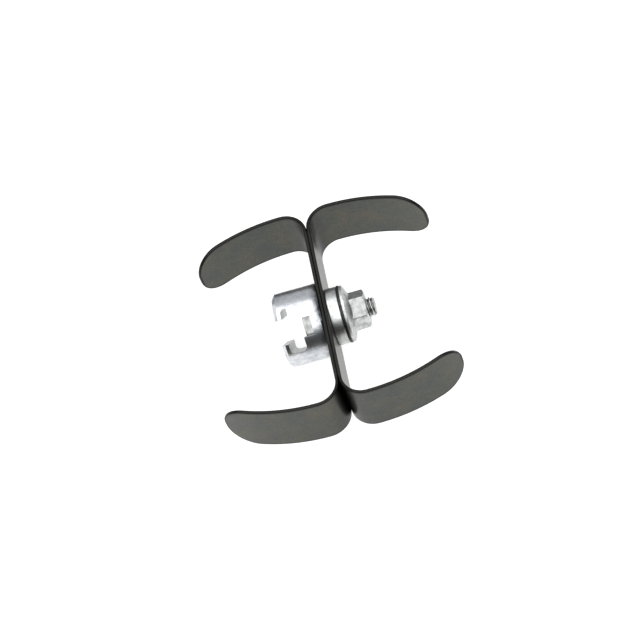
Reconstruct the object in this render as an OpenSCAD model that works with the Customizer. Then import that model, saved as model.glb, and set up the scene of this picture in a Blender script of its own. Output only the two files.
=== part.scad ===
// Four-arm drain cleaning cutter head on a T-slot coupling.
// X runs along the axis of rotation, from the cable's end to the nut.
// Y runs along the blades' webs, and Z across the width of their strip.
// X = 0 is the rear rim of the coupling, where the cable's own coupling meets it.

/* [Coupling] */
// Outer diameter of the coupling
coupling_d = 22; // [20:0.5:24]
// Length of the coupling from its rear rim to the blades
coupling_len = 13.3; // [12.5:0.1:16]
// Turn of the T-slot about the axis, from the blades' width
slot_turn = 37.5; // [0:0.5:90]
// Width of the slot's mouth between the two lips
mouth_w = 7.3; // [6:0.1:8]
// Thickness of the lips behind the slot
lip_t = 2.0; // [1.5:0.1:2.5]
// Width of the slot's crossbar
crossbar_w = 13.2; // [12:0.1:14]
// Length of the crossbar along the axis
crossbar_len = 4.9; // [4:0.1:5.2]
// Corner radius at the ends of the crossbar
crossbar_r = 1.2; // [0.5:0.1:2]
// Width of the locking groove in the slot's floor
groove_w = 5.7; // [4.5:0.1:7]
// Depth of the locking groove below the slot's floor
groove_depth = 3.2; // [2:0.1:3.5]

/* [Blades] */
// Width of the spring steel strip
strip_w = 17.8; // [14:0.2:20]
// Thickness of the strip
strip_t = 1.0; // [0.8:0.1:1.2]
// Distance from the axis to the middle of an arm at its furthest
arm_height = 33.2; // [30:0.1:36]
// Radius of the bend between web and arm, at the middle of the strip
bend_r = 6.7; // [4:0.1:8]
// Radius of the arm's slow inward curve
arm_curve_r = 56; // [45:0.5:120]
// Length of an arm along its curve, without the bend
arm_len = 29; // [20:0.2:34]
// Larger corner radius at an arm's tip
tip_r_large = 9.0; // [7:0.5:10]
// Smaller corner radius at an arm's tip
tip_r_small = 7.0; // [3:0.5:8]

/* [Clamp] */
// Diameter of the clamp collar
collar_d = 16.9; // [14:0.1:20]
// Thickness of the clamp collar
collar_t = 3.5; // [2:0.1:5]
// Diameter of the lock washer
washer_d = 17.1; // [14:0.1:20]
// Thickness of the lock washer
washer_t = 0.7; // [0.5:0.1:1.2]
// Diameter of the nut's flange
flange_d = 16.7; // [14:0.1:20]
// Width of the nut across its flats
nut_af = 10; // [9.8:0.1:10.2]
// Height of the nut with its flange
nut_h = 6.6; // [5:0.1:8]
// Turn of the nut's hexagon about the axis
nut_turn = 56; // [0:1:60]
// How far the bolt stands out of the nut
stub_len = 2.4; // [1:0.1:6]

/* [Hidden] */

$fn = 96;

// Every cutting shape runs past the surface it opens by this much
over = 0.5;

// M6 screw with a hexagon head
bolt_d = 5.9;
bolt_hole_d = 6.4;
nut_bore_d = 6.0;
head_af = 10;
head_h = 4;
head_seat_d = 12;
bolt_point = 0.7;

// Hexagon corners are turned off over this length, by a bar this much wider than they are
corner_chamfer = 0.5;
corner_room = 0.2;

// Coupling
rear_chamfer = 1.0;
front_chamfer = 0.5;
slot_floor = lip_t + crossbar_len;
head_sink = 0.3;
head_seat = slot_floor + head_sink + head_h;
coupling_r = coupling_d / 2;

// Blades, stacked back to back on the coupling's front face
seam = coupling_len + strip_t;
front_web = seam + strip_t;
web_half = arm_height - bend_r;
bend_centre = [bend_r + strip_t / 2, web_half];
curve_centre = [bend_r + strip_t / 2, arm_height - arm_curve_r];
tip_angle = 90 - arm_len / arm_curve_r * 180 / PI;
tip_point = curve_centre + arm_curve_r * [cos(tip_angle), sin(tip_angle)];
corner_shift = 0.01;

// Clamp stack along the axis
collar_front = front_web + collar_t;
washer_front = collar_front + washer_t;
nut_front = washer_front + nut_h;
bolt_end = nut_front + stub_len;
collar_chamfer = 0.4;
washer_chamfer = 0.15;

// Flange nut
flange_rim = 0.8;
cone_len = 1.3;
cone_top_r = 5.4;

// Turns a shape drawn along Z so that it lies along X, and moves it to x
module on_axis(x = 0) {
    translate([x, 0, 0]) rotate([0, 90, 0]) children();
}

// Round bar along the axis from x0 to x1 with a chamfer at each end
module bar(x0, x1, d, c0 = 0, c1 = 0) {
    r = d / 2;
    on_axis()
        rotate_extrude()
            polygon([[0, x0], [r - c0, x0], [r, x0 + c0], [r, x1 - c1], [r - c1, x1], [0, x1]]);
}

// Plain round hole along the axis
module hole(x0, x1, d) {
    on_axis(x0) cylinder(h = x1 - x0, d = d);
}

// Regular hexagon with a given width across flats
module hexagon(af) {
    circle(d = af / cos(30), $fn = 6);
}

// Hexagonal bar from x0 to x1 with its corners turned off at the ends that are chamfered
module hex_bar(x0, x1, af, turn, chamfer0 = 0, chamfer1 = 0) {
    intersection() {
        on_axis(x0) rotate(turn) linear_extrude(x1 - x0) hexagon(af);
        bar(x0, x1, af / cos(30) + 2 * corner_room, chamfer0, chamfer1);
    }
}

// Rectangle from x0 to x1, w wide about the axis
module strip_2d(x0, x1, w) {
    translate([x0, -w / 2]) square([x1 - x0, w]);
}

// Crossbar of the T with its four corners rounded
module crossbar_2d() {
    strip_2d(lip_t + crossbar_r, slot_floor - crossbar_r, crossbar_w);
    strip_2d(lip_t, slot_floor, crossbar_w - 2 * crossbar_r);
    for (x = [lip_t + crossbar_r, slot_floor - crossbar_r], side = [-1, 1])
        translate([x, side * (crossbar_w / 2 - crossbar_r)]) circle(crossbar_r, $fn = 32);
}

// Section of the T-slot, with the locking groove in its floor
module slot_2d() {
    strip_2d(-over, lip_t + over, mouth_w);
    crossbar_2d();
    strip_2d(slot_floor - over, slot_floor + groove_depth, groove_w);
}

// Full ring of strip round the origin
module ring_2d(mid_r) {
    difference() {
        circle(mid_r + strip_t / 2, $fn = 180);
        circle(mid_r - strip_t / 2, $fn = 180);
    }
}

// Quarter ring that turns the web into an arm
module bend_2d() {
    reach = 2 * bend_r;
    intersection() {
        ring_2d(bend_r);
        translate([-reach, 0]) square(reach);
    }
}

// Slow curve of an arm, from its highest point to the tip
module slow_curve_2d() {
    reach = 2 * arm_curve_r;
    past_tip = reach * [cos(tip_angle), sin(tip_angle)];
    intersection() {
        ring_2d(arm_curve_r);
        polygon([[0, 0], [0, reach], [reach, reach], past_tip]);
    }
}

// One arm as seen along Z: the bend, then the slow curve towards the tip.
// The outer face of the web lies on x = 0 and the arm leaves towards +x.
module arm_2d() {
    translate(bend_centre) bend_2d();
    translate(curve_centre) slow_curve_2d();
}

// Whole strip as seen along Z: web and two arms
module blade_2d() {
    translate([0, -web_half]) square([strip_t, 2 * web_half]);
    arm_2d();
    mirror([0, 1]) arm_2d();
}

// What a rounded corner of radius r takes off a square one at the origin.
// The round meets both sides at a slight angle, so it leaves no hair-thin sliver.
module corner_waste_2d(r) {
    difference() {
        translate([-r, -r]) square(r + over);
        translate([corner_shift - r, corner_shift - r]) circle(r);
    }
}

// Cutter that rounds both corners at the tip of the arm on the +y side.
// The larger corner is at +z there.
module tip_cutter() {
    half = strip_w / 2;
    depth = 8 * strip_t;
    translate(concat(tip_point, 0))
        rotate([0, 0, tip_angle - 90])
            rotate([90, 0, 0])
                linear_extrude(depth, center = true) {
                    translate([0, half]) corner_waste_2d(tip_r_large);
                    translate([0, -half]) mirror([0, 1]) corner_waste_2d(tip_r_small);
                }
}

// One blade: the outer face of its web lies on x = 0 and both arms point to +x.
// Its two arms are the same when it is turned half round about the axis.
module blade() {
    difference() {
        translate([0, 0, -strip_w / 2]) linear_extrude(strip_w) blade_2d();
        tip_cutter();
        rotate([180, 0, 0]) tip_cutter();
        hole(-over, strip_t + over, bolt_hole_d);
    }
}

// Turned coupling with the T-slot milled across it
module coupling_body() {
    color("silver")
        difference() {
            bar(0, coupling_len, coupling_d, rear_chamfer, front_chamfer);
            rotate([slot_turn, 0, 0])
                translate([0, 0, -coupling_r - over])
                    linear_extrude(coupling_d + 2 * over) slot_2d();
            hole(slot_floor - over, head_seat, head_seat_d);
            hole(head_seat - over, coupling_len + over, bolt_hole_d);
        }
}

// Blade whose arms point back, on both sides of the coupling
module rear_blade() {
    color("dimgray")
        translate([seam, 0, 0]) mirror([1, 0, 0]) blade();
}

// The same blank bent the other way, with its arms forwards
module front_blade() {
    color("dimgray")
        translate([seam, 0, 0]) blade();
}

// Thick round clamping collar in front of the blades
module clamp_collar() {
    color("gainsboro")
        difference() {
            bar(front_web, collar_front, collar_d, collar_chamfer, collar_chamfer);
            hole(front_web - over, collar_front + over, bolt_hole_d);
        }
}

// Thin dark washer that keeps the nut from working loose
module lock_washer() {
    color("darkslategray")
        difference() {
            bar(collar_front, washer_front, washer_d, washer_chamfer, washer_chamfer);
            hole(collar_front - over, washer_front + over, bolt_hole_d);
        }
}

// Flange with its straight rim and the cone up to the hexagon
module nut_flange() {
    rim = washer_front + flange_rim;
    foot = rim + cone_len;
    r = flange_d / 2;
    on_axis()
        rotate_extrude()
            polygon([[0, washer_front], [r, washer_front], [r, rim], [cone_top_r, foot], [0, foot]]);
}

// M6 flange nut
module flange_nut() {
    color("whitesmoke")
        difference() {
            union() {
                nut_flange();
                hex_bar(washer_front, nut_front, nut_af, nut_turn, 0, corner_chamfer + corner_room);
            }
            hole(washer_front - over, nut_front + over, nut_bore_d);
        }
}

// M6 screw whose head sits in the coupling's floor, with a flat towards the slot's end
module clamp_bolt() {
    head_top = head_seat - head_h;
    color("lightgray") {
        hex_bar(head_top, head_seat, head_af, slot_turn - 30, corner_chamfer + corner_room, 0);
        bar(head_seat - over, bolt_end, bolt_d, 0, bolt_point);
    }
}

coupling_body();
rear_blade();
front_blade();
clamp_collar();
lock_washer();
flange_nut();
clamp_bolt();
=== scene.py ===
"""Drain cleaning cutter head: two bent blades clamped to a T-slot coupling.

X runs along the axis of rotation, Y along the blades' webs and Z across their strip.
Every length is in metres, and x = 0 is the rear rim of the coupling.
"""

import math

import bmesh
import bpy
import numpy as np
from bpy.props import FloatProperty, FloatVectorProperty, PointerProperty
from mathutils import Matrix, Vector


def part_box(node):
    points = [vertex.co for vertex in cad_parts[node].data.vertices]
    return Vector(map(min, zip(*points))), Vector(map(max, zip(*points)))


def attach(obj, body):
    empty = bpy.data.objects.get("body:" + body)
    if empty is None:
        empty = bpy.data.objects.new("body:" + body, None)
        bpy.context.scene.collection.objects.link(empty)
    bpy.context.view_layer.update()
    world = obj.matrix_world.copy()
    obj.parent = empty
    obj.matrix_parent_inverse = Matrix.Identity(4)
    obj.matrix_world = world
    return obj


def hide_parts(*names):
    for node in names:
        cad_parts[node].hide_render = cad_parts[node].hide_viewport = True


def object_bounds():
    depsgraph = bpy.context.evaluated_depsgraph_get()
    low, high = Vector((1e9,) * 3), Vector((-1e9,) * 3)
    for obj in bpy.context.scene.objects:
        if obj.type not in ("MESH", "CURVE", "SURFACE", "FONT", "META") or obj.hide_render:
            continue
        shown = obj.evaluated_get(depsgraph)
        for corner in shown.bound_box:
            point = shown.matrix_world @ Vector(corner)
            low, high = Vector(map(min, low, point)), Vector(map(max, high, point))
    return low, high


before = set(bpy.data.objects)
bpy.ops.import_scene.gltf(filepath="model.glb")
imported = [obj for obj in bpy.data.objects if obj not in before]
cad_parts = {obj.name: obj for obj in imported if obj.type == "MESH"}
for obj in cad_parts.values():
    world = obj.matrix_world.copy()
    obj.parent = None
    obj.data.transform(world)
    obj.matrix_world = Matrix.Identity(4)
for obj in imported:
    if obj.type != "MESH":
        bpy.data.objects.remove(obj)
CAD_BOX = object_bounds()

bl_info = {
    "name": "Drain Cutter Head",
    "version": (1, 0, 0),
    "blender": (4, 5, 0),
    "location": "View3D > Sidebar > Cutter Head",
    "description": "Builds a four-arm drain cleaning cutter head round its fixed frame",
    "category": "Object",
}

MM = 0.001
BODY = "root"

# A wave texture of scale 1 repeats once in this many metres
WAVE_REPEAT = 0.314
# Cone of a nut's or a screw head's turned-off corners, from the plane of its end
CHAMFER = math.radians(30)
# Radius of the flat end that the turned-off corners leave on the nut and on the screw's head
CROWN = 4.85 * MM
# Turn of the nut's and of the head's hexagon, in degrees
NUT_TURN, HEAD_TURN = -4, 7.5


def linear(hex_colour):
    """Linear red, green and blue of an sRGB hex colour such as "#5C5C57"."""
    srgb = np.array([int(hex_colour[i : i + 2], 16) for i in (1, 3, 5)]) / 255
    low, high = srgb / 12.92, ((srgb + 0.055) / 1.055) ** 2.4
    return tuple(np.where(srgb <= 0.04045, low, high).tolist())


def length(name, default, description):
    """A length property in metres, given in millimetres."""
    return FloatProperty(
        name=name, default=default * MM, min=0, precision=5, unit="LENGTH", description=description
    )


def colour(name, hex_colour, description):
    """A colour property whose default is an sRGB hex colour."""
    return FloatVectorProperty(
        name=name, default=linear(hex_colour), subtype="COLOR", size=3, min=0, max=1,
        description=description,
    )


# ---------------------------------------------------------------- settings


class CUTTER_PG_blades(bpy.types.PropertyGroup):
    """Sizes and colours of the two blades"""

    strip_width: length("Strip width", 17.8, "Width of the spring steel strip")
    strip_thickness: length("Strip thickness", 1.0, "Thickness of the strip")
    seam: length("Seam", 14.3, "Place along the axis where the two webs meet")
    arm_height: length("Arm height", 33.2, "Axis to the middle of an arm at its furthest")
    bend_radius: length("Bend radius", 6.7, "Radius of the bend at the middle of the strip")
    curve_radius: length("Curve radius", 56.0, "Radius of the arm's slow inward curve")
    arm_length: length("Arm length", 29.0, "Length of an arm along its curve, after the bend")
    large_corner: length("Large corner", 9.0, "Larger corner radius at an arm's tip")
    small_corner: length("Small corner", 7.0, "Smaller corner radius at an arm's tip")
    edge_radius: length("Edge radius", 0.28, "Rounding of the strip's cut edges")
    bolt_hole: length("Bolt hole", 6.4, "Diameter of the hole in the web")
    steel: colour("Steel", "#50514C", "Satin tempered steel")
    warm_tint: colour("Warm tint", "#55534B", "Brown temper tint")
    cool_tint: colour("Cool tint", "#4C4E4C", "Blue temper tint")
    edge: colour("Edge", "#2A2A28", "Oxide on the cut edges")
    # Near-black painted shade in the bends, the dark crevice between the blades
    scale: colour("Scale", "#141413", "Mill scale left along the bends")


class CUTTER_PG_coupling(bpy.types.PropertyGroup):
    """Finish of the T-slot coupling"""

    edge_radius: length("Edge radius", 0.18, "Rounding of the machined edges")
    zinc: colour("Zinc", "#DADCDE", "Bright zinc plating")
    cloud: colour("Cloud", "#BABEC4", "Cooler clouds in the plating")
    # Grey painted shade inside the milled slot
    slot_shade: colour("Recess", "#8E8F90", "Thin dull plating inside the milled slot")
    # Dark painted shade on the coupling's front end, next to the blades
    blade_shade: colour("Stain", "#3A3C42", "Oil stain next to the blades")
    blade_shade_width: length("Stain width", 2.6, "Reach of the stain from the blades")


class CUTTER_PG_clamp(bpy.types.PropertyGroup):
    """Sizes and colours of the collar, washer, nut and bolt"""

    collar_diameter: length("Collar diameter", 16.9, "Diameter of the clamp collar")
    collar_thickness: length("Collar thickness", 3.5, "Thickness of the clamp collar")
    washer_diameter: length("Washer diameter", 17.1, "Diameter of the lock washer")
    washer_thickness: length("Washer thickness", 0.7, "Thickness of the lock washer")
    flange_diameter: length("Flange diameter", 16.7, "Diameter of the nut's flange")
    nut_flats: length("Nut flats", 10.0, "Width of the nut across its flats")
    nut_height: length("Nut height", 6.6, "Height of the nut with its flange")
    bolt_diameter: length("Bolt diameter", 5.9, "Outer diameter of the screw's thread")
    thread_pitch: length("Thread pitch", 1.0, "Pitch of the screw's thread")
    head_flats: length("Head flats", 10.0, "Width of the screw's head across its flats")
    head_height: length("Head height", 4.0, "Height of the screw's head")
    stub: length("Stub", 2.4, "How far the screw stands out of the nut")
    zinc: colour("Zinc", "#D2D4D3", "Zinc plating of the turned and pressed pieces")
    cloud: colour("Cloud", "#ADAFAC", "Dull clouds in the plating")
    nut_zinc: colour("Nut zinc", "#D6D8D7", "Duller plating of the nut and screw")
    nut_cloud: colour("Nut cloud", "#A8AAA8", "Dull clouds on the nut and screw")
    # Darker thread roots, and painted shade on the screw's head inside the slot
    groove: colour("Groove", "#747572", "Dirt at the root of the screw's thread")
    # Dark painted shade at the foot of the nut's hexagon and on its two upper flats
    nut_shade: colour("Oil", "#3E403E", "Old oil round the foot of the nut's hexagon")
    oxide: colour("Oxide", "#343432", "Black oxide of the lock washer")


class CUTTER_PG_stage(bpy.types.PropertyGroup):
    """Floor, lights and camera"""

    floor: colour("Floor", "#F7F7F7", "Glow of the pale floor")
    paper: colour("Paper", "#959595", "What the floor gives back of the light above it")
    wall: colour("Wall", "#FBFDFF", "Walls of the room")
    curtain: colour("Curtain", "#383B44", "Dark curtain in front, which the metal mirrors")
    room: FloatProperty(
        name="Room", default=0.6, min=0, description="Brightness of the room round the table"
    )
    softbox: FloatProperty(
        name="Soft box", default=34.0, min=0, unit="POWER", description="Power of the soft box"
    )
    lens: FloatProperty(
        name="Lens", default=159.9, min=1, subtype="DISTANCE_CAMERA", description="Focal length"
    )


GROUPS = {
    "cutter_blades": CUTTER_PG_blades,
    "cutter_coupling": CUTTER_PG_coupling,
    "cutter_clamp": CUTTER_PG_clamp,
    "cutter_stage": CUTTER_PG_stage,
}


# ---------------------------------------------------------------- meshes


def lattice(rows, cols, wrap_rows=False, wrap_cols=False):
    """Quads of a grid of vertices stored row by row, as an array of four indices each."""
    i = np.arange(rows if wrap_rows else rows - 1)[:, None]
    j = np.arange(cols if wrap_cols else cols - 1)[None, :]
    here, right = i * cols + j, i * cols + (j + 1) % cols
    below, across = (i + 1) % rows * cols + j, (i + 1) % rows * cols + (j + 1) % cols
    return np.stack([here, right, across, below], -1).reshape(-1, 4)


def bridge(loop_a, loop_b):
    """Quads between two closed loops of equal length."""
    return np.stack([loop_a, np.roll(loop_a, -1), np.roll(loop_b, -1), loop_b], -1)


def put_mesh(name, verts, faces, merge=1e-7):
    """A new object whose mesh holds the vertices and faces, closed and facing outwards."""
    mesh = bpy.data.meshes.new(name)
    mesh.from_pydata(np.asarray(verts).tolist(), [], faces)
    work = bmesh.new()
    work.from_mesh(mesh)
    bmesh.ops.remove_doubles(work, verts=work.verts, dist=merge)
    bmesh.ops.dissolve_degenerate(work, edges=work.edges, dist=merge)
    bmesh.ops.recalc_face_normals(work, faces=work.faces)
    work.to_mesh(mesh)
    work.free()
    mesh.update()
    obj = bpy.data.objects.new(name, mesh)
    bpy.context.scene.collection.objects.link(obj)
    return obj


def read(items, name, width=1, kind=float):
    """One value, or a row of width values, from each of a mesh's vertices, loops or faces."""
    values = np.empty(len(items) * width, kind)
    items.foreach_get(name, values)
    return values.reshape(-1, width) if width > 1 else values


def mark(mesh, name, values, domain="POINT"):
    """Keeps one number for every vertex or face under a name that materials read."""
    mesh.attributes.new(name, "FLOAT", domain).data.foreach_set("value", values)


def stands_for(obj, node, material, smooth_angle=math.radians(32)):
    """Shades the piece, gives it its material, and puts it in place of a CAD node."""
    obj.data.shade_smooth()
    obj.data.set_sharp_from_angle(angle=smooth_angle)
    obj.data.materials.append(material)
    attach(obj, BODY)
    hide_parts(node)


def eased(corners, cut, steps, share=0.45):
    """Rounds the corners of closed profiles, all at once.

    corners has the shape (corner, column, 2). Each corner P with neighbours A and B turns into
    points of the parabola (1-t)^2 (P + c a) + 2 t (1-t) P + t^2 (P + c b), where a and b are
    the unit vectors towards A and B, and c is the cut, at most this share of the shorter side.
    """
    to_a = np.roll(corners, 1, 0) - corners
    to_b = np.roll(corners, -1, 0) - corners
    len_a = np.linalg.norm(to_a, axis=-1, keepdims=True)
    len_b = np.linalg.norm(to_b, axis=-1, keepdims=True)
    c = np.minimum(np.asarray(cut)[:, None, None], share * np.minimum(len_a, len_b))
    start, end = corners + c * to_a / len_a, corners + c * to_b / len_b
    t = np.linspace(0, 1, steps)[None, :, None, None]
    blend = (1 - t) ** 2 * start[:, None] + 2 * t * (1 - t) * corners[:, None] + t**2 * end[:, None]
    return blend.reshape(-1, *corners.shape[1:])


def ring_piece(name, profile, cut, angles, steps=5):
    """A bored piece turned about the axis.

    The closed profile (x, r), one for each angle, is eased and carried round: a vertex lies at
    (x, r cos a, r sin a).
    """
    rows = eased(profile, cut, steps)
    x, r = rows[..., 0], rows[..., 1]
    verts = np.stack([x, r * np.cos(angles), r * np.sin(angles)], -1).reshape(-1, 3)
    quads = lattice(len(rows), len(angles), wrap_rows=True, wrap_cols=True)
    return put_mesh(name, verts, quads.tolist())


def hexagon(flats, angles, turn, power=60):
    """Radius of a hexagon with softened corners at each angle.

    It is flats/2 times the sum over the three pairs of flats of |cos(angle - flat)|^p, to the
    power -1/p.
    """
    flat = np.radians(turn + np.array([0, 60, 120]))[:, None]
    return flats / 2 * (np.abs(np.cos(angles[None] - flat)) ** power).sum(0) ** (-1 / power)


# ---------------------------------------------------------------- materials


def add(tree, kind, inputs=None, **settings):
    """Adds a node. An input that is given a socket is linked to it, any other takes the value."""
    made = tree.nodes.new(kind)
    for key, value in settings.items():
        setattr(made, key, value)
    for key, value in (inputs or {}).items():
        if isinstance(value, bpy.types.NodeSocket):
            tree.links.new(value, made.inputs[key])
        else:
            made.inputs[key].default_value = value
    return made


def new_material(name):
    """An empty node material and its tree."""
    material = bpy.data.materials.new(name)
    material.use_nodes = True
    material.node_tree.nodes.clear()
    return material, material.node_tree


def rgba(value):
    """Four channels from a colour property."""
    return (*value, 1.0)


def tempered_steel(s):
    """Spring steel strip, hardened and tempered, and oiled: satin dark grey.

    Brown and blue temper clouds about 6 mm wide with a finer speckle, rolling grain along the
    strip, black oxide on the cut edges, which reads as a thin dark outline, and near-black
    painted shade in the bends, which paints the dark crevice between the blades.
    """
    material, tree = new_material("tempered_spring_steel_satin")
    strip = add(tree, "ShaderNodeUVMap", uv_map="strip")
    place = add(tree, "ShaderNodeTexCoord")
    clouds = add(
        tree, "ShaderNodeTexNoise",
        {"Vector": place.outputs["Object"], "Scale": 1 / (6 * MM), "Detail": 5.0,
         "Roughness": 0.6},
    )
    tint = add(tree, "ShaderNodeValToRGB", {"Fac": clouds.outputs["Fac"]})
    tint.color_ramp.elements[0].position = 0.36
    tint.color_ramp.elements[0].color = rgba(s.cool_tint)
    tint.color_ramp.elements[1].position = 0.66
    tint.color_ramp.elements[1].color = rgba(s.warm_tint)
    middle = tint.color_ramp.elements.new(0.5)
    middle.color = rgba(s.steel)
    # Grain 0.5 mm wide and 8 mm long, drawn coarser than it is so that it still shows
    stretch = add(
        tree, "ShaderNodeMapping",
        {"Vector": strip.outputs["UV"], "Scale": (1 / (8 * MM), 1 / (0.5 * MM), 1.0)},
    )
    grain = add(
        tree, "ShaderNodeTexNoise",
        {"Vector": stretch.outputs["Vector"], "Scale": 1.0, "Detail": 3.0, "Roughness": 0.6},
    )
    # Speckle of the oiled surface, 0.6 mm across
    speckle = add(
        tree, "ShaderNodeTexNoise",
        {"Vector": place.outputs["Object"], "Scale": 1 / (0.6 * MM), "Detail": 4.0,
         "Roughness": 0.7},
    )
    shade = add(
        tree, "ShaderNodeMapRange",
        {"Value": speckle.outputs["Fac"], "From Min": 0.3, "From Max": 0.7,
         "To Min": 0.80, "To Max": 1.18},
    )
    mottled = add(
        tree, "ShaderNodeVectorMath",
        {0: tint.outputs["Color"], "Scale": shade.outputs["Result"]}, operation="SCALE",
    )
    rim = add(tree, "ShaderNodeAttribute", attribute_name="rim", attribute_type="GEOMETRY")
    edged = add(
        tree, "ShaderNodeMix",
        {"Factor": rim.outputs["Fac"], 6: mottled.outputs["Vector"], 7: rgba(s.edge)},
        data_type="RGBA",
    )
    # Painted shade in the bends darkens the steel
    bends = add(tree, "ShaderNodeAttribute", attribute_name="scale", attribute_type="GEOMETRY")
    body = add(
        tree, "ShaderNodeMix",
        {"Factor": bends.outputs["Fac"], 6: edged.outputs[2], 7: rgba(s.scale)},
        data_type="RGBA",
    )
    rough = add(
        tree, "ShaderNodeMapRange",
        {"Value": grain.outputs["Fac"], "From Min": 0.3, "From Max": 0.7,
         "To Min": 0.27, "To Max": 0.40},
    )
    bump = add(
        tree, "ShaderNodeBump",
        {"Height": grain.outputs["Fac"], "Strength": 0.35, "Distance": 0.012 * MM},
    )
    shader = add(
        tree, "ShaderNodeBsdfPrincipled",
        {"Base Color": body.outputs[2], "Metallic": 1.0, "Roughness": rough.outputs["Result"],
         "Normal": bump.outputs["Normal"]},
    )
    add(tree, "ShaderNodeOutputMaterial", {"Surface": shader.outputs["BSDF"]})
    return material


def plated(name, zinc, cloud, cloud_size, rough_low, rough_high, turned=0.0, darker_colour=None,
           darker_where=None, blade_shade=None, blade_shade_x=(0, 0)):
    """Zinc plate on steel: bright, faintly clouded, with a soft shine.

    Clouds of cloud_size millimetres change its colour and roughness, a fine orange peel breaks
    up the reflection, and turned gives the spacing in millimetres of the lathe's rings. The
    plating turns to the darker colour where the named attribute says: painted shade in the
    coupling's slot, on the nut and on the screw's head, and the screw's darker thread roots.
    Painted shade next to the blades also grows between the two given places along the axis,
    patchy like the clouds.
    """
    material, tree = new_material(name)
    place = add(tree, "ShaderNodeTexCoord")
    clouds = add(
        tree, "ShaderNodeTexNoise",
        {"Vector": place.outputs["Object"], "Scale": 1 / (cloud_size * MM), "Detail": 6.0,
         "Roughness": 0.62},
    )
    tone = add(tree, "ShaderNodeValToRGB", {"Fac": clouds.outputs["Fac"]})
    tone.color_ramp.elements[0].position = 0.34
    tone.color_ramp.elements[0].color = rgba(cloud)
    tone.color_ramp.elements[1].position = 0.60
    tone.color_ramp.elements[1].color = rgba(zinc)
    rough = add(
        tree, "ShaderNodeMapRange",
        {"Value": clouds.outputs["Fac"], "From Min": 0.3, "From Max": 0.7,
         "To Min": rough_high, "To Max": rough_low},
    )
    # Orange peel 0.8 mm across
    peel = add(
        tree, "ShaderNodeTexNoise",
        {"Vector": place.outputs["Object"], "Scale": 1 / (0.8 * MM), "Detail": 2.0},
    )
    normal = add(
        tree, "ShaderNodeBump",
        {"Height": peel.outputs["Fac"], "Strength": 0.5, "Distance": 0.02 * MM},
    )
    if turned:
        rings = add(
            tree, "ShaderNodeTexWave",
            {"Vector": place.outputs["Object"], "Scale": WAVE_REPEAT / (turned * MM),
             "Distortion": 0.6, "Detail": 2.0},
            wave_type="BANDS", bands_direction="X",
        )
        normal = add(
            tree, "ShaderNodeBump",
            {"Height": rings.outputs["Fac"], "Strength": 0.4, "Distance": 0.006 * MM,
             "Normal": normal.outputs["Normal"]},
        )
    colour_out = tone.outputs["Color"]
    # Where the named attribute says, the colour darkens: painted shade in the coupling's slot, on
    # the nut and on the screw's head, and the screw's darker thread roots
    if darker_where:
        depth = add(
            tree, "ShaderNodeAttribute", attribute_name=darker_where, attribute_type="GEOMETRY"
        )
        mixed = add(
            tree, "ShaderNodeMix",
            {"Factor": depth.outputs["Fac"], 6: colour_out, 7: rgba(darker_colour)}, data_type="RGBA",
        )
        colour_out = mixed.outputs[2]
    # Painted shade on the coupling next to the blades, patchy like the clouds
    if blade_shade:
        axes = add(tree, "ShaderNodeSeparateXYZ", {"Vector": place.outputs["Object"]})
        reach = add(
            tree, "ShaderNodeMapRange",
            {"Value": axes.outputs["X"], "From Min": blade_shade_x[0], "From Max": blade_shade_x[1]},
            interpolation_type="SMOOTHSTEP",
        )
        patchy = add(
            tree, "ShaderNodeMapRange",
            {"Value": clouds.outputs["Fac"], "From Min": 0.35, "From Max": 0.65,
             "To Min": 1.0, "To Max": 0.5},
        )
        amount = add(
            tree, "ShaderNodeMath",
            {0: reach.outputs["Result"], 1: patchy.outputs["Result"]}, operation="MULTIPLY",
        )
        mixed = add(
            tree, "ShaderNodeMix",
            {"Factor": amount.outputs["Value"], 6: colour_out, 7: rgba(blade_shade)},
            data_type="RGBA",
        )
        colour_out = mixed.outputs[2]
    shader = add(
        tree, "ShaderNodeBsdfPrincipled",
        {"Base Color": colour_out, "Metallic": 1.0, "Roughness": rough.outputs["Result"],
         "Normal": normal.outputs["Normal"]},
    )
    add(tree, "ShaderNodeOutputMaterial", {"Surface": shader.outputs["BSDF"]})
    return material


# ---------------------------------------------------------------- blades


def bend_strip(s, strip, across, height):
    """Folds the flat strip into the blade.

    strip is the distance along the middle of the flat blank from the axis, across is z, and
    height is measured from the middle of the strip, outwards from the arms. The web is straight
    up to where the bend begins, then a quarter circle of the bend's radius follows, and then a
    circle of the curve's radius whose centre lies on the same line.
    """
    along = np.abs(strip)
    web = s.arm_height - s.bend_radius
    quarter = s.bend_radius * math.pi / 2
    bend = np.pi - np.clip(along - web, 0, quarter) / s.bend_radius
    slow = np.pi / 2 - np.maximum(along - web - quarter, 0) / s.curve_radius
    middle_x = s.bend_radius + s.strip_thickness / 2
    in_bend = along <= web + quarter
    angle = np.where(in_bend, bend, slow)
    radius = np.where(in_bend, s.bend_radius, s.curve_radius) + height
    centre_y = np.where(in_bend, np.minimum(along, web), s.arm_height - s.curve_radius)
    x = middle_x + radius * np.cos(angle)
    y = centre_y + radius * np.sin(angle)
    return np.stack([x, np.where(strip < 0, -y, y), across], -1)


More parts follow.
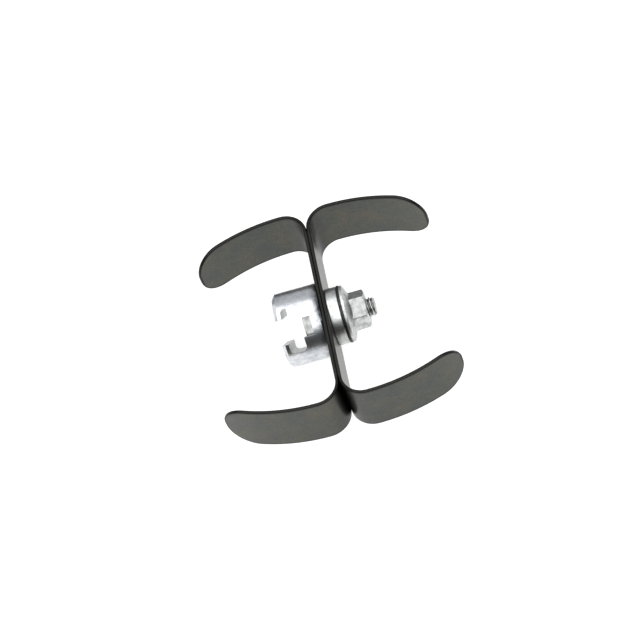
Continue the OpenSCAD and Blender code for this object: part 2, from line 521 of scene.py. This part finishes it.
def make_blade(name, s, forwards):
    """One blade as a closed sheet.

    The flat outline is a strip whose tips have a large and a small corner, placed so that the
    blank looks the same turned half round. Both faces are grids between the lower and upper
    edge, the rim is half a rounded profile carried round the outline, and the bolt hole is
    blended from a block of the grid.
    """
    e = s.edge_radius
    half = s.strip_width / 2 - e
    web = s.arm_height - s.bend_radius
    quarter = s.bend_radius * math.pi / 2
    tip = web + quarter + s.arm_length - e
    big, small = s.large_corner - e, s.small_corner - e

    # Stations along the blank, closer together in the bend and towards the tip
    fine, coarse, ease_steps = 25, 17, 5
    round_tip = tip - big * (1 - np.sin(np.linspace(0, math.pi / 2, fine)))
    right = np.concatenate([
        np.linspace(0, web, fine)[:-1],
        np.linspace(web, web + quarter, fine)[:-1],
        np.linspace(web + quarter, tip - big, coarse)[:-1],
        round_tip,
    ])
    strip = np.concatenate([-right[:0:-1], right])
    over_big = np.clip(np.abs(strip) - (tip - big), 0, big) / big
    over_small = np.clip(np.abs(strip) - (tip - small), 0, small) / small
    far = half - big + big * np.sqrt(1 - over_big**2)
    near = half - small + small * np.sqrt(1 - over_small**2)
    upper = np.where(strip >= 0, far, near)
    lower = -np.where(strip >= 0, near, far)
    lean_up = np.where(strip >= 0, over_big, -over_small)
    lean_down = np.where(strip >= 0, over_small, -over_big)

    w = np.sin(np.linspace(-1, 1, fine) * math.pi / 2)
    grid_z = (upper + lower)[:, None] / 2 + (upper - lower)[:, None] / 2 * w[None]
    grid_s = np.repeat(strip[:, None], len(w), 1)
    rows, cols = grid_s.shape
    ids = np.arange(rows * cols).reshape(rows, cols)
    loop = np.concatenate([ids[:, 0], ids[-1, 1:-1], ids[::-1, -1], ids[0, -2:0:-1]])
    ends = np.tile([1.0, 0.0], (cols - 2, 1))
    normals = np.concatenate([
        np.stack([lean_down, -np.sqrt(1 - lean_down**2)], -1),
        ends,
        np.stack([lean_up, np.sqrt(1 - lean_up**2)], -1)[::-1],
        -ends,
    ])

    # Rim: quarter circle, flat and quarter circle from one face to the other
    turn = np.linspace(0, math.pi / 2, ease_steps)
    t_half = s.strip_thickness / 2
    out = np.concatenate([e * np.sin(turn), e * np.sin(turn[::-1])])[1:-1]
    level = np.concatenate([
        t_half - e + e * np.cos(turn), -(t_half - e + e * np.cos(turn[::-1]))
    ])[1:-1]
    flat = np.stack([grid_s.ravel(), grid_z.ravel()], -1)
    rim = flat[loop][None] + normals[None] * out[:, None, None]
    rim_level = np.repeat(level[:, None], len(loop), 1)

    # Bolt hole: a block of the grid round the axis gives way to a ring of quads
    mid_i, mid_j, reach = rows // 2, cols // 2, 4
    block = ids[mid_i - reach : mid_i + reach + 1, mid_j - reach : mid_j + reach + 1]
    around = np.concatenate([block[:-1, 0], block[-1, :-1], block[:0:-1, -1], block[0, :0:-1]])
    direction = np.arctan2(flat[around][:, 1], flat[around][:, 0])
    hole = s.bolt_hole / 2 * np.stack([np.cos(direction), np.sin(direction)], -1)
    quads = lattice(rows, cols)
    inner = np.zeros((rows - 1, cols - 1), bool)
    inner[mid_i - reach : mid_i + reach, mid_j - reach : mid_j + reach] = True
    quads = quads[~inner.ravel()]
    kept = np.ones(rows * cols, bool)
    kept[block[1:-1, 1:-1].ravel()] = False

    count, ring = len(flat), len(around)
    plan = np.concatenate([flat, flat, rim.reshape(-1, 2), hole, hole])
    height = np.concatenate([
        np.full(count, t_half), np.full(count, -t_half), rim_level.ravel(),
        np.full(ring, t_half), np.full(ring, -t_half),
    ])
    rim_start = 2 * count
    rim_ids = rim_start + np.arange(len(out) * len(loop)).reshape(len(out), -1)
    hole_top = rim_start + rim_ids.size + np.arange(ring)
    hole_low = hole_top + ring
    faces = [quads, quads[:, ::-1] + count, bridge(loop, rim_ids[0])]
    faces += [bridge(rim_ids[k], rim_ids[k + 1]) for k in range(len(out) - 1)]
    faces += [bridge(rim_ids[-1], loop + count), bridge(around, hole_top)]
    faces += [bridge(hole_top, hole_low), bridge(hole_low, around + count)]
    faces = np.concatenate(faces)

    # The dark edge is full for half of edge_fade from the outline, and gone after 1.5 of it
    edge_fade = 0.28 * MM
    inset = np.minimum.reduce([
        (upper[:, None] - grid_z), (grid_z - lower[:, None]),
        np.repeat((tip - np.abs(strip))[:, None], cols, 1),
    ]).ravel()
    fade = np.clip(1.5 - inset / edge_fade, 0, 1)
    mask = np.concatenate([fade, fade, np.ones(rim_level.size), np.zeros(2 * ring)])

    # Painted shade in the bends: thick on the outside of a bend where it begins, which paints the
    # dark crevice between the blades, and a thin band on its inside. The places and widths are
    # parts of the bend.
    start_width, thick_to, thins_over = 0.12, 0.22, 0.62
    band_middle, band_width = 0.4, 0.28
    thick, thin = 0.95, 0.5
    round_bend = (np.abs(plan[:, 0]) - web) / quarter
    outside = 1 - np.clip((round_bend - thick_to) / thins_over, 0, 1) ** 0.8
    outside *= np.clip(1 + round_bend / start_width, 0, 1)
    inside = thin * np.exp(-(((round_bend - band_middle) / band_width) ** 2))
    scale = np.where(height > 0, thick * outside, inside)

    verts = bend_strip(s, plan[:, 0], plan[:, 1], height)
    verts[:, 0] = s.seam + (verts[:, 0] if forwards else -verts[:, 0])
    used = np.concatenate([kept, kept, np.ones(len(verts) - 2 * count, bool)])
    new_id = np.cumsum(used) - 1
    obj = put_mesh(name, verts[used], new_id[faces].tolist(), merge=1e-9)
    mesh = obj.data
    if len(mesh.vertices) != used.sum():
        raise RuntimeError(f"{name} lost vertices while it was closed")
    plan = plan[used]
    mark(mesh, "rim", mask[used])
    mark(mesh, "scale", scale[used])
    corner = read(mesh.loops, "vertex_index", kind=int)
    mesh.uv_layers.new(name="strip").data.foreach_set("uv", plan[corner].ravel())
    return obj


class CUTTER_OT_blades(bpy.types.Operator):
    """Makes the two bent blades and their tempered steel"""

    bl_idname = "cutter.blades"
    bl_label = "Make Blades"

    def execute(self, context):
        s = context.scene.cutter_blades
        steel = tempered_steel(s)
        for node, forwards in (("rear_blade", False), ("front_blade", True)):
            obj = make_blade(f"bent_{node}", s, forwards)
            stands_for(obj, node, steel)
        return {"FINISHED"}


# ---------------------------------------------------------------- coupling


class CUTTER_OT_coupling(bpy.types.Operator):
    """Eases the edges of the machined coupling and plates it"""

    bl_idname = "cutter.coupling"
    bl_label = "Make Coupling"

    def execute(self, context):
        s = context.scene.cutter_coupling
        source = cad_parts["coupling_body"].data
        work = bmesh.new()
        work.from_mesh(source)
        bmesh.ops.remove_doubles(work, verts=work.verts, dist=1e-6)
        bmesh.ops.dissolve_limit(
            work, angle_limit=math.radians(0.5), verts=work.verts, edges=work.edges
        )
        mesh = bpy.data.meshes.new("t_slot_coupling")
        work.to_mesh(mesh)
        work.free()
        obj = bpy.data.objects.new("t_slot_coupling", mesh)
        context.scene.collection.objects.link(obj)
        # Faces inside the slot lie between the rear rim and the counterbore's floor, within the
        # turned surface, and don't face away from the axis
        places = read(mesh.vertices, "co", width=3)
        normals = read(mesh.polygons, "normal", width=3)
        corner = read(mesh.loops, "vertex_index", kind=int)
        sizes = read(mesh.polygons, "loop_total", kind=int)
        owner = np.repeat(np.arange(len(sizes)), sizes)
        centre = np.stack([np.bincount(owner, places[corner][:, k]) for k in range(3)], -1)
        centre /= sizes[:, None]
        away = np.linalg.norm(centre[:, 1:], axis=1)
        outwards = (centre[:, 1:] * normals[:, 1:]).sum(1) / np.maximum(away, 1e-9)
        rim, floor, turned_radius, facing_away = 0.1 * MM, 11.5 * MM, 10.9 * MM, 0.6
        inside = (centre[:, 0] > rim) & (centre[:, 0] < floor) & (away < turned_radius)
        inside &= outwards < facing_away
        # The faces inside the slot get the painted shade of the slot
        mark(mesh, "slot_shade", inside.astype(float), domain="FACE")
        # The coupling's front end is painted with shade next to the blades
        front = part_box("coupling_body")[1][0]
        zinc = plated(
            "bright_zinc_on_turned_steel", s.zinc, s.cloud, 1.9, 0.24, 0.38, turned=0.45,
            darker_colour=s.slot_shade, darker_where="slot_shade", blade_shade=s.blade_shade, blade_shade_x=(front - s.blade_shade_width, front),
        )
        stands_for(obj, "coupling_body", zinc)
        bevel = obj.modifiers.new("eased_edges", "BEVEL")
        bevel.width = s.edge_radius
        bevel.segments = 3
        bevel.limit_method = "ANGLE"
        bevel.angle_limit = math.radians(40)
        bevel.harden_normals = True
        bevel.use_clamp_overlap = True
        return {"FINISHED"}


# ---------------------------------------------------------------- clamp stack


def stations(s):
    """Places along the axis, from the front of the webs to the end of the screw."""
    web = bpy.context.scene.cutter_blades
    back = web.seam + web.strip_thickness
    collar = back + s.collar_thickness
    washer = collar + s.washer_thickness
    nut = washer + s.nut_height
    return back, collar, washer, nut, nut + s.stub


class CUTTER_OT_collar(bpy.types.Operator):
    """Turns the clamp collar and the lock washer"""

    bl_idname = "cutter.collar"
    bl_label = "Make Collar and Washer"

    def execute(self, context):
        s = context.scene.cutter_clamp
        back, collar, washer, _, _ = stations(s)
        bore, bore_ease = 3.2 * MM, 0.05 * MM
        angles = np.linspace(0, 2 * math.pi, 180, endpoint=False)
        for name, node, slot, x0, x1, outer, ease, material in (
            ("turned_collar", "clamp_collar", "zinc_plated_collar", back, collar,
             s.collar_diameter / 2, 0.45 * MM,
             plated("zinc_on_turned_collar", s.zinc, s.cloud, 1.7, 0.28, 0.42, turned=0.4)),
            ("thin_lock_washer", "lock_washer", "black_oxide_washer", collar, washer,
             s.washer_diameter / 2, 0.2 * MM, black_oxide(s)),
        ):
            corners = np.array([[x0, bore], [x0, outer], [x1, outer], [x1, bore]])
            profile = np.repeat(corners[:, None], len(angles), 1)
            cut = [bore_ease, ease, ease, bore_ease]
            stands_for(ring_piece(name, profile, cut, angles), node, material)
        return {"FINISHED"}


def black_oxide(s):
    """Steel washer with a black oxide skin: nearly black, with the low shine of an oiled surface.
    """
    material, tree = new_material("black_oxide_steel")
    place = add(tree, "ShaderNodeTexCoord")
    patches = add(
        tree, "ShaderNodeTexNoise",
        {"Vector": place.outputs["Object"], "Scale": 1 / (1.2 * MM), "Detail": 4.0},
    )
    tone = add(tree, "ShaderNodeValToRGB", {"Fac": patches.outputs["Fac"]})
    tone.color_ramp.elements[0].position = 0.35
    tone.color_ramp.elements[0].color = rgba(s.oxide)
    tone.color_ramp.elements[1].position = 0.75
    tone.color_ramp.elements[1].color = rgba([c * 1.9 for c in s.oxide])
    rough = add(
        tree, "ShaderNodeMapRange",
        {"Value": patches.outputs["Fac"], "To Min": 0.36, "To Max": 0.55},
    )
    bump = add(
        tree, "ShaderNodeBump",
        {"Height": patches.outputs["Fac"], "Strength": 0.3, "Distance": 0.01 * MM},
    )
    shader = add(
        tree, "ShaderNodeBsdfPrincipled",
        {"Base Color": tone.outputs["Color"], "Metallic": 1.0,
         "Roughness": rough.outputs["Result"], "Normal": bump.outputs["Normal"]},
    )
    add(tree, "ShaderNodeOutputMaterial", {"Surface": shader.outputs["BSDF"]})
    return material


class CUTTER_OT_nut(bpy.types.Operator):
    """Makes the flange nut with its rim, cone and chamfered hexagon"""

    bl_idname = "cutter.nut"
    bl_label = "Make Flange Nut"

    def execute(self, context):
        s = context.scene.cutter_clamp
        _, _, base, top, _ = stations(s)
        # Columns start on a corner of the hexagon
        angles = np.radians(NUT_TURN + 90 + np.arange(240) * 1.5)
        hexa = hexagon(s.nut_flats, angles, NUT_TURN)
        # The cone rises this far while its radius falls from the rim's to this one
        flange_edge, cone_rise, cone_radius = 0.8 * MM, 1.3 * MM, 5.4 * MM
        outer, rim = s.flange_diameter / 2, base + flange_edge
        slope = cone_rise / (outer - cone_radius)
        foot = rim + (outer - hexa) * slope
        bore, bore_chamfer, shade_reach = 3.0 * MM, 0.4 * MM, 0.85 * MM
        one = np.ones_like(angles)
        profile = np.stack([
            np.stack([base * one, bore * one], -1),
            np.stack([base * one, outer * one], -1),
            np.stack([rim * one, outer * one], -1),
            np.stack([foot, hexa], -1),
            np.stack([foot + 0.9 * MM, hexa], -1),
            np.stack([top - (hexa - CROWN) * math.tan(CHAMFER), hexa], -1),
            np.stack([top * one, CROWN * one], -1),
            np.stack([top * one, (bore + bore_chamfer) * one], -1),
            np.stack([(top - bore_chamfer) * one, bore * one], -1),
        ])
        # How much each of these corners is eased
        cut = np.array([0.05, 0.12, 0.16, 0.3, 0.1, 0.12, 0.12, 0.05, 0.05]) * MM
        obj = ring_piece("hexagon_flange_nut", profile, cut, angles)
        # Painted shade in the corner between cone and hexagon, mostly on the side that faced up
        x, y, z = read(obj.data.vertices, "co", width=3).T
        around = np.arctan2(z, y)
        foot = rim + (outer - hexagon(s.nut_flats, around, NUT_TURN)) * slope
        upper_side = ((1 + np.cos(around - math.radians(105))) / 2) ** 3
        nut_shade = 0.62 * upper_side * np.clip(1 - np.abs(x - foot) / shade_reach, 0, 1)
        # Painted shade on the two flats of the hexagon that faced up
        flat_shade = np.zeros_like(around)
        for flat, flat_darkness in ((NUT_TURN + 120, 0.42), (NUT_TURN + 60, 0.22)):
            flat_shade[np.abs(around - math.radians(flat)) < math.radians(30)] = flat_darkness
        nut_shade = np.maximum(nut_shade, np.where(x > foot - 0.05 * MM, flat_shade, 0))
        mark(obj.data, "nut_shade", nut_shade)
        # The nut's painted shade darkens its plating
        zinc = plated("zinc_on_pressed_nut", s.nut_zinc, s.nut_cloud, 1.5, 0.34, 0.52,
                      darker_colour=s.nut_shade, darker_where="nut_shade")
        stands_for(obj, "flange_nut", zinc)
        return {"FINISHED"}


class CUTTER_OT_bolt(bpy.types.Operator):
    """Makes the hexagon head screw with its thread"""

    bl_idname = "cutter.bolt"
    bl_label = "Make Screw"

    def execute(self, context):
        s = context.scene.cutter_clamp
        end = stations(s)[-1]
        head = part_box("clamp_bolt")[0][0]
        seat = head + s.head_height
        major = s.bolt_diameter / 2
        # Columns start on a corner of the head, one of whose flats faces the end of the slot
        angles = np.radians(HEAD_TURN + 30 + np.arange(120) * 3)
        one = np.ones_like(angles)
        hexa = hexagon(s.head_flats, angles, HEAD_TURN)
        ease, point, point_depth = 0.07 * MM, 0.7 * MM, 0.75 * MM
        slope = math.tan(CHAMFER)
        # Place and radius of each row of the head, from the middle of its end to the shank
        head_rows = [
            (head * one, 0.5 * CROWN * one), (head * one, CROWN * one),
            (head + ease * slope + (hexa - CROWN - ease) * slope, hexa - ease * 0.3),
            (head + ease + (hexa - CROWN) * slope, hexa),
            ((seat - ease) * one, hexa), (seat * one, hexa - ease), (seat * one, major * one),
        ]
        x_head = np.array([row[0] for row in head_rows])
        r_head = np.array([row[1] for row in head_rows])

        # Thread: the radius falls from the crest by the depth times a ramp of the phase
        # x / pitch - angle / turn. Crest, flank and root are shares of half the pitch, and the
        # thread grows to its full depth over the first few millimetres of the shank.
        crest, flank, full_depth, thread_rows = 0.16, 0.60, 0.46 * s.thread_pitch, 276
        x = np.linspace(seat + 0.1 * MM, end, thread_rows)[:, None] * one
        phase = (x - end) / s.thread_pitch - angles[None] / (2 * math.pi)
        ramp = np.clip((np.abs((phase % 1) * 2 - 1) - crest) / flank, 0, 1)
        fade_in = np.clip((x - seat) / (3 * MM) - 0.5, 0, 1)
        depth = full_depth * ramp * fade_in
        taper = np.clip((x - (end - point)) / point, 0, 1) * point_depth
        r = np.minimum(major - depth, major - taper)
        x_all, r_all = np.concatenate([x_head, x]), np.concatenate([r_head, r])
        # Painted shade on the head, which sits in the slot, and a colour that darkens towards the
        # thread's root
        head_shade = 0.5
        root_darkening = np.clip(depth / full_depth, 0, 1)
        groove = np.concatenate([np.full_like(r_head, head_shade), root_darkening])
        verts = np.stack(
            [x_all, r_all * np.cos(angles), r_all * np.sin(angles)], -1
        ).reshape(-1, 3)
        rows, cols = x_all.shape
        poles = np.array([[head, 0, 0], [end, 0, 0]])
        around = np.arange(cols)
        fans = [
            np.stack([np.full(cols, rows * cols), np.roll(around, -1), around], -1),
            np.stack([np.full(cols, rows * cols + 1), (rows - 1) * cols + around,
                      (rows - 1) * cols + np.roll(around, -1)], -1),
        ]
        faces = lattice(rows, cols, wrap_cols=True).tolist() + np.concatenate(fans).tolist()
        obj = put_mesh("threaded_hexagon_screw", np.concatenate([verts, poles]), faces, merge=1e-9)
        values = np.concatenate([groove.ravel(), [0.0, 0.0]])
        if len(obj.data.vertices) != len(values):
            raise RuntimeError("the screw lost vertices while it was closed")
        mark(obj.data, "groove", values)
        # The screw's plating darkens at the thread roots and with painted shade on its head
        zinc = plated("zinc_on_rolled_screw", s.nut_zinc, s.nut_cloud, 1.4, 0.24, 0.4,
                      darker_colour=s.groove, darker_where="groove")
        stands_for(obj, "clamp_bolt", zinc)
        return {"FINISHED"}


# ---------------------------------------------------------------- stage


def aim(obj, position, target):
    """Puts a lamp at a position, with its face turned to the target."""
    obj.location = position
    obj.rotation_euler = (Vector(target) - Vector(position)).to_track_quat("-Z", "Y").to_euler()


class CUTTER_OT_stage(bpy.types.Operator):
    """Makes the pale floor, the room, the soft box and the camera"""

    bl_idname = "cutter.stage"
    bl_label = "Make Stage"

    def execute(self, context):
        s = context.scene.cutter_stage
        scene = context.scene
        scene.view_settings.view_transform = "Standard"

        # Floor just under the coupling
        half_floor, floor_gap = 3.0, 0.02 * MM
        corners = np.array([[-1, -1], [1, -1], [1, 1], [-1, 1]]) * half_floor
        verts = np.column_stack([corners, np.full(4, CAD_BOX[0][2] - floor_gap)])
        mesh = bpy.data.meshes.new("pale_floor")
        mesh.from_pydata(verts.tolist(), [], [[0, 1, 2, 3]])
        floor = bpy.data.objects.new("pale_floor", mesh)
        scene.collection.objects.link(floor)
        # Matt paper on a light table: its own glow keeps it white, with hardly a shadow
        material, tree = new_material("matt_white_paper")
        shader = add(
            tree, "ShaderNodeBsdfPrincipled",
            {"Base Color": rgba(s.paper), "Roughness": 0.9,
             "Emission Color": rgba(s.floor), "Emission Strength": 0.95},
        )
        add(tree, "ShaderNodeOutputMaterial", {"Surface": shader.outputs["BSDF"]})
        mesh.materials.append(material)

        world = bpy.data.worlds.new("grey_room")
        world.use_nodes = True
        world.node_tree.nodes.clear()
        tree = world.node_tree
        # A dark curtain stands low in front, where the metal mirrors it, and the rest is grey
        way = add(tree, "ShaderNodeTexCoord")
        axes = add(tree, "ShaderNodeSeparateXYZ", {"Vector": way.outputs["Generated"]})
        low = add(
            tree, "ShaderNodeMapRange",
            {"Value": axes.outputs["Z"], "From Min": 0.68, "From Max": 0.53},
            interpolation_type="SMOOTHSTEP",
        )
        ahead = add(
            tree, "ShaderNodeMapRange",
            {"Value": axes.outputs["Y"], "From Min": -0.15, "From Max": -0.45},
            interpolation_type="SMOOTHSTEP",
        )
        curtain = add(
            tree, "ShaderNodeMath",
            {0: low.outputs["Result"], 1: ahead.outputs["Result"]}, operation="MULTIPLY",
        )
        tone = add(
            tree, "ShaderNodeMix",
            {"Factor": curtain.outputs["Value"], 6: rgba(s.wall), 7: rgba(s.curtain)},
            data_type="RGBA",
        )
        room = add(
            tree, "ShaderNodeBackground", {"Color": tone.outputs[2], "Strength": s.room}
        )
        # Looked at directly, the room is as pale as the floor
        pale = add(tree, "ShaderNodeBackground", {"Color": rgba(s.floor), "Strength": 1.0})
        seen = add(tree, "ShaderNodeLightPath")
        shown = add(
            tree, "ShaderNodeMixShader",
            {0: seen.outputs["Is Camera Ray"], 1: room.outputs["Background"],
             2: pale.outputs["Background"]},
        )
        add(tree, "ShaderNodeOutputWorld", {"Surface": shown.outputs["Shader"]})
        scene.world = world

        # Large soft box overhead, leaning towards the front
        box_height, box_side, lean = 1.2, 2.6, math.radians(7)
        lamp = bpy.data.lights.new("soft_box", "AREA")
        lamp.shape = "SQUARE"
        lamp.size = box_side
        lamp.energy = s.softbox
        box = bpy.data.objects.new("soft_box", lamp)
        scene.collection.objects.link(box)
        over = (0.0, -box_height * math.sin(lean), box_height * math.cos(lean))
        aim(box, over, (14 * MM, 0, 0))

        # Camera: seen from above the front, turned a little about its own line of sight. It
        # aims at the head's middle, moved a little to the left and down in the view.
        side_turn, down, roll = math.radians(5.12), math.radians(34.67), math.radians(15.6)
        back = Vector((
            math.sin(side_turn),
            -math.cos(side_turn) * math.sin(down),
            math.cos(side_turn) * math.cos(down),
        ))
        right = (Vector((1, 0, 0)) - back.x * back).normalized()
        up = back.cross(right)
        turned_right = right * math.cos(roll) - up * math.sin(roll)
        turned_up = right * math.sin(roll) + up * math.cos(roll)
        middle, left, below, distance = 14.1 * MM, 2.319 * MM, 0.377 * MM, 0.824
        target = Vector((middle, 0, 0)) - turned_right * left - turned_up * below
        cam_data = bpy.data.cameras.new("camera")
        cam_data.sensor_width = 36
        cam_data.lens = s.lens
        cam_data.clip_start, cam_data.clip_end = 0.01, 20
        camera = bpy.data.objects.new("camera", cam_data)
        scene.collection.objects.link(camera)
        basis = Matrix((turned_right, turned_up, back)).transposed().to_4x4()
        camera.matrix_world = Matrix.Translation(target + back * distance) @ basis
        scene.camera = camera
        return {"FINISHED"}


# ---------------------------------------------------------------- panel


OPERATORS = (
    CUTTER_OT_blades,
    CUTTER_OT_coupling,
    CUTTER_OT_collar,
    CUTTER_OT_nut,
    CUTTER_OT_bolt,
    CUTTER_OT_stage,
)


class CUTTER_PT_panel(bpy.types.Panel):
    """Lists the steps that build the cutter head"""

    bl_idname = "CUTTER_PT_panel"
    bl_label = "Drain Cutter Head"
    bl_space_type = "VIEW_3D"
    bl_region_type = "UI"
    bl_category = "Cutter Head"

    def draw(self, context):
        for name, group in GROUPS.items():
            box = self.layout.box()
            box.label(text=group.__doc__)
            for key in group.__annotations__:
                box.prop(getattr(context.scene, name), key)
        for step in OPERATORS:
            self.layout.operator(step.bl_idname)


CLASSES = (*GROUPS.values(), *OPERATORS, CUTTER_PT_panel)


def register():
    """Registers the classes and hangs the settings on the scene."""
    for cls in CLASSES:
        bpy.utils.register_class(cls)
    for name, group in GROUPS.items():
        setattr(bpy.types.Scene, name, PointerProperty(type=group))


def unregister():
    """Takes the settings and the classes away again."""
    for name in GROUPS:
        delattr(bpy.types.Scene, name)
    for cls in reversed(CLASSES):
        bpy.utils.unregister_class(cls)


def main():
    """Builds every piece and the stage."""
    register()
    bpy.ops.cutter.blades()
    bpy.ops.cutter.coupling()
    bpy.ops.cutter.collar()
    bpy.ops.cutter.nut()
    bpy.ops.cutter.bolt()
    bpy.ops.cutter.stage()
    bpy.context.view_layer.update()


if __name__ == "__main__":
    main()
